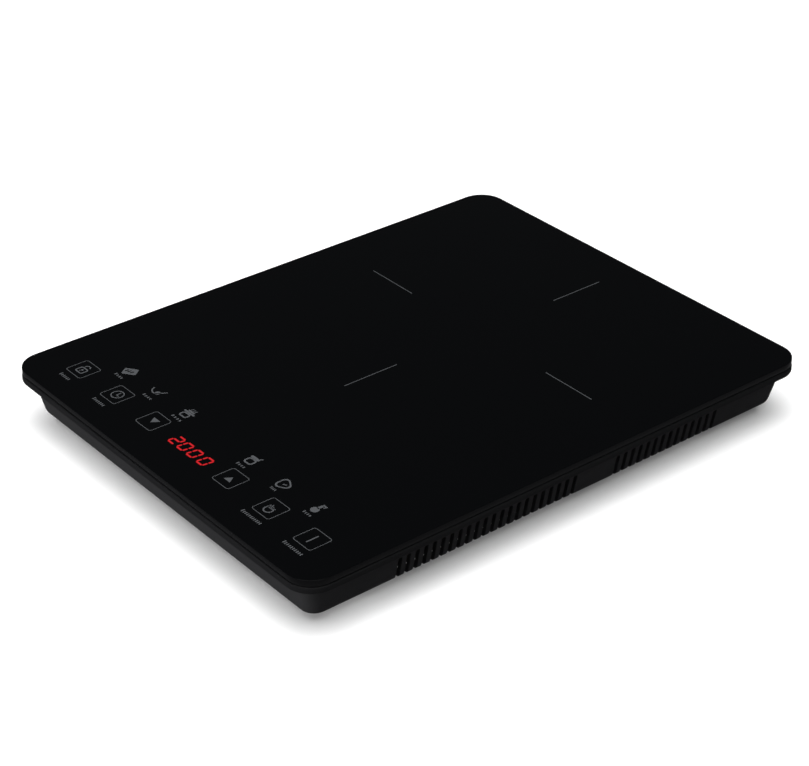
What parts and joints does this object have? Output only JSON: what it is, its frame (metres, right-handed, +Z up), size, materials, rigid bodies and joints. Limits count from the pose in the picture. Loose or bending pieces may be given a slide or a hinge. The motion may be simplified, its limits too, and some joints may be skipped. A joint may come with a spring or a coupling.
{
  "type": "induction cooktop",
  "caption": "Slim portable single-zone induction cooktop: glass plate over a vented plastic case with coil, fan, power board, touch panel and rubber feet.",
  "frame": {"origin": "centre of the rectangular footprint on the plane the rubber feet stand on", "axes": "+Z up, out of the cooking surface; +Y towards the back, away from the user and the touch keys; +X to the user's right"},
  "size_m": [0.28, 0.356, 0.038],
  "materials": {
    "black_glass": "polished black glass-ceramic, opaque, glossy",
    "bond_silicone": "matt black silicone bead",
    "case_plastic": "fine-spark dark grey moulding, satin",
    "frame_plastic": "near-black moulding, fine satin",
    "foot_rubber": "matt black rubber",
    "zinc_steel": "bright zinc plate",
    "fan_plastic": "black glass-filled moulding",
    "motor_steel": "lacquered laminations and winding",
    "coil_copper": "enamelled litz strands under clear varnish",
    "carrier_plastic": "heat-resistant black moulding",
    "ferrite": "sintered dark grey ferrite",
    "mica": "pale mica sheet",
    "ceramic_white": "matt white ceramic",
    "lead_sleeve": "woven glass-fibre sleeve",
    "power_board_laminate": "tan laminate board",
    "green_board": "green solder mask",
    "heat_sink_aluminium": "extruded, mill finish",
    "black_epoxy": "moulded black epoxy",
    "film_capacitor_case": "yellow moulded case",
    "choke_winding": "enamelled copper wire",
    "transformer_tape": "yellow polyester tape",
    "capacitor_sleeve": "dark blue shrink sleeve",
    "ribbon_insulation": "grey flat cable",
    "display_plastic": "black display body",
    "white_guide": "white translucent moulding",
    "panel_print": "fired grey-white enamel print on the glass",
    "display_light": "red segments glowing through the glass"
  },
  "bodies": {
    "housing": {"glass_top": "black_glass", "glass_seal": "bond_silicone", "top_frame": "frame_plastic", "bottom_case": "case_plastic", "foot_front_left": "foot_rubber", "foot_front_right": "foot_rubber", "foot_rear_left": "foot_rubber", "foot_rear_right": "foot_rubber", "cord_gland": "foot_rubber", "case_screw_left_1": "zinc_steel", "case_screw_left_2": "zinc_steel", "case_screw_left_3": "zinc_steel", "case_screw_right_1": "zinc_steel", "case_screw_right_2": "zinc_steel", "case_screw_right_3": "zinc_steel", "fan_frame": "fan_plastic", "fan_stator": "motor_steel", "fan_screw_1": "zinc_steel", "fan_screw_2": "zinc_steel", "coil_winding": "coil_copper", "coil_bracket": "carrier_plastic", "ferrite_bar_1": "ferrite", "ferrite_bar_2": "ferrite", "ferrite_bar_3": "ferrite", "ferrite_bar_4": "ferrite", "ferrite_bar_5": "ferrite", "ferrite_bar_6": "ferrite", "mica_sheet": "mica", "thermistor": "ceramic_white", "coil_lead_inner": "lead_sleeve", "coil_lead_outer": "lead_sleeve", "coil_screw_1": "zinc_steel", "coil_screw_2": "zinc_steel", "coil_screw_3": "zinc_steel", "power_board": "power_board_laminate", "heat_sink": "heat_sink_aluminium", "igbt": "black_epoxy", "bridge_rectifier": "black_epoxy", "resonant_capacitor": "film_capacitor_case", "dc_link_capacitor": "film_capacitor_case", "mains_filter_capacitor": "film_capacitor_case", "filter_choke": "choke_winding", "standby_transformer": "transformer_tape", "fuse": "ceramic_white", "buzzer": "black_epoxy", "electrolytic_capacitor": "capacitor_sleeve", "ribbon_cable": "ribbon_insulation", "board_screw_1": "zinc_steel", "board_screw_2": "zinc_steel", "panel_carrier": "carrier_plastic", "control_board": "green_board", "display_module": "display_plastic", "light_guide": "white_guide", "touch_spring_lock": "zinc_steel", "touch_spring_timer": "zinc_steel", "touch_spring_down": "zinc_steel", "touch_spring_up": "zinc_steel", "touch_spring_function": "zinc_steel", "touch_spring_power": "zinc_steel"},
    "fan_rotor": {"fan_rotor": "fan_plastic"}
  },
  "joints": [
    {"name": "fan_spin", "type": "hinge", "parent": "housing", "child": "fan_rotor", "pos_m": [-0.068, -0.085, 0.02], "axis": [0, 0, 1], "continuous": true}
  ]
}
